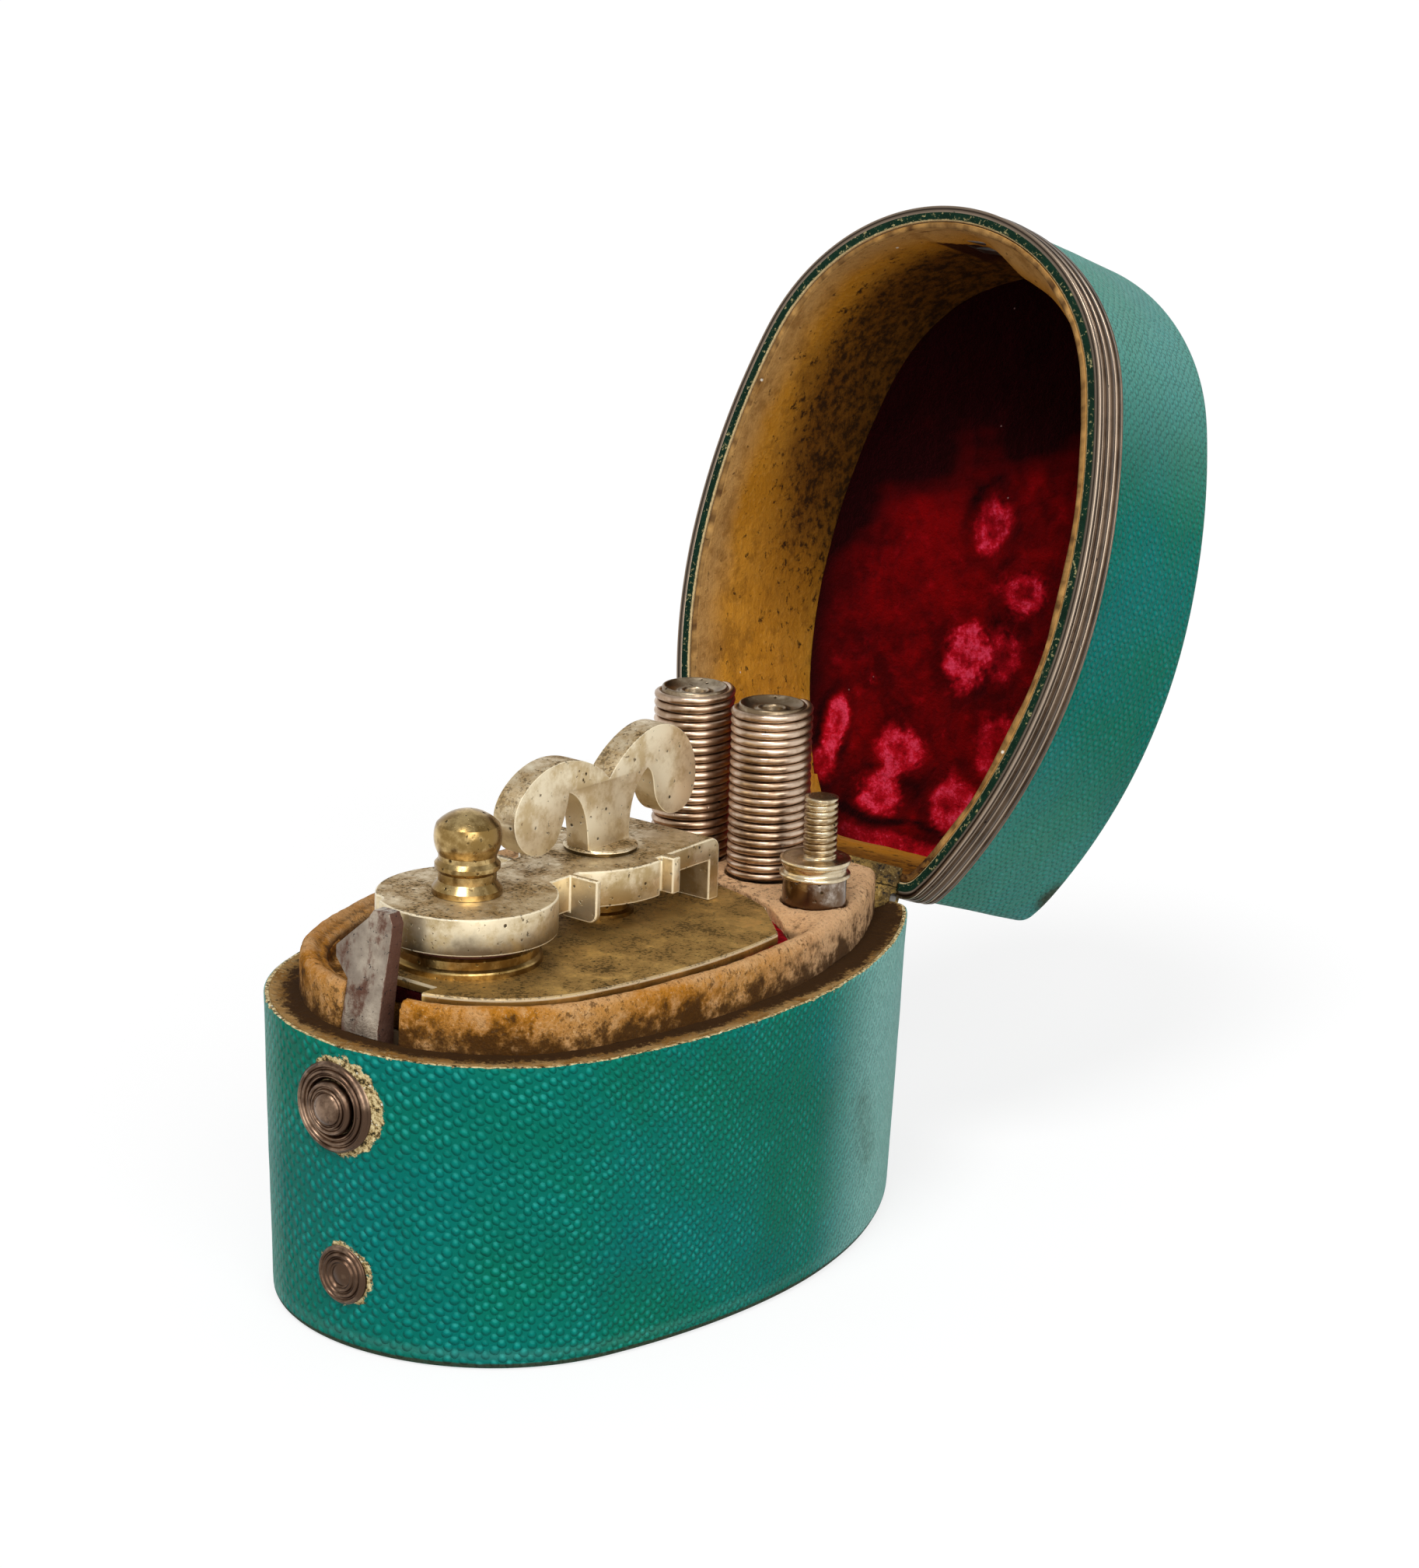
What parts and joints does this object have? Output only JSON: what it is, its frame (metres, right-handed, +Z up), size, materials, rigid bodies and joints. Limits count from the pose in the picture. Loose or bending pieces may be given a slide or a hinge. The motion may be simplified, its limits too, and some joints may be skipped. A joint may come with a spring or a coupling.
{
  "type": "travelling writing case",
  "caption": "Oval green skin-covered travelling inkwell case, velvet-lined hinged lid open, with a brass screw clamp over the well, wire-wound tubes and a threaded peg.",
  "frame": {"origin": "centre of the underside, on the case's long axis", "axes": "+Z up, +Y towards the hinge at the back, +X to the right seen from the catch"},
  "size_m": [0.0606, 0.1464, 0.1198],
  "materials": {
    "wood": "dry limewood",
    "shagreen": "green dyed scaly skin, waxed",
    "dark_leather": "dark goatskin",
    "stained_leather": "stained suede",
    "tan_leather": "tan suede, stained",
    "rim_leather": "dark green skin edge",
    "gasket_leather": "oiled red-brown leather",
    "red_velvet": "crimson silk velvet",
    "aged_brass": "aged, brushed",
    "pale_brass": "pale, pitted",
    "gold_brass": "polished by handling",
    "hinge_brass": "corroded",
    "bronze": "dark patina",
    "steel": "dull",
    "rusted_steel": "pitted and rusted",
    "tube_metal": "tarnished",
    "wire": "tarnished, drawn wire",
    "silver": "tarnished silver plate",
    "nickel_brass": "dull",
    "well_glass": "clear moulded"
  },
  "bodies": {
    "base": {"base_carcass": "wood", "base_skin": "shagreen", "underside_cover": "dark_leather", "ledge_lining": "stained_leather", "liner_block": "wood", "collar": "tan_leather", "recess_velvet": "red_velvet", "deck_plate": "aged_brass", "well_glass": "well_glass", "well_neck": "aged_brass", "well_gasket": "gasket_leather", "screw_boss": "aged_brass", "hinge_leaf_base": "hinge_brass", "hinge_pin": "steel", "button_bezel": "bronze", "catch_rivet": "bronze"},
    "lid": {"lid_carcass": "wood", "lid_skin": "shagreen", "lid_band": "bronze", "lid_rim_strip": "rim_leather", "lid_leather_wall": "tan_leather", "lid_pad": "red_velvet", "catch_strike": "steel", "hinge_leaf_lid": "hinge_brass"},
    "button": {"catch_button": "bronze"},
    "catch": {"catch_leaf": "rusted_steel"},
    "rider": {"clamp_washer": "pale_brass"},
    "bar": {"clamp_bar": "pale_brass", "clamp_knob": "gold_brass"},
    "turn": {"thumb_turn": "pale_brass", "clamp_screw": "steel"},
    "tube_left": {"tube_sleeve_left": "tube_metal", "tube_winding_left": "wire"},
    "tube_right": {"tube_sleeve_right": "tube_metal", "tube_winding_right": "wire"},
    "peg": {"peg_sleeve": "silver", "peg_screw": "nickel_brass"}
  },
  "joints": [
    {"name": "lid_hinge", "type": "hinge", "parent": "base", "child": "lid", "pos_m": [0, 0.0416, 0.037], "axis": [-1, 0, 0], "range_deg": [-109.35, 0]},
    {"name": "button_push", "type": "slide", "parent": "base", "child": "button", "axis": [0, 1, 0], "range_m": [0, 0.0006], "stiffness_N_per_m": 400},
    {"name": "catch_flex", "type": "hinge", "parent": "base", "child": "catch", "pos_m": [0, -0.0416, 0.006], "axis": [-1, 0, 0], "range_deg": [0, 1.47]},
    {"name": "clamp_rise", "type": "slide", "parent": "base", "child": "rider", "axis": [0, 0, 1], "range_m": [0, 0.003]},
    {"name": "turn_spin", "type": "hinge", "parent": "rider", "child": "turn", "pos_m": [0, 0, 0.051], "axis": [0, 0, 1], "range_deg": [0, 1080.5]},
    {"name": "bar_swing", "type": "hinge", "parent": "rider", "child": "bar", "pos_m": [0, 0, 0.048], "axis": [0, 0, 1], "range_deg": [0, 75]},
    {"name": "tube_left_lift", "type": "slide", "parent": "base", "child": "tube_left", "axis": [0, 0, 1], "range_m": [0, 0.03]},
    {"name": "tube_right_lift", "type": "slide", "parent": "base", "child": "tube_right", "axis": [0, 0, 1], "range_m": [0, 0.03]},
    {"name": "peg_lift", "type": "slide", "parent": "base", "child": "peg", "axis": [0, 0, 1], "range_m": [0, 0.03]}
  ],
  "couplings": [
    {"joint": "catch_flex", "follows": "button_push", "rad_per_m": 42.553},
    {"joint": "turn_spin", "follows": "clamp_rise", "rad_per_m": 6283.2}
  ]
}
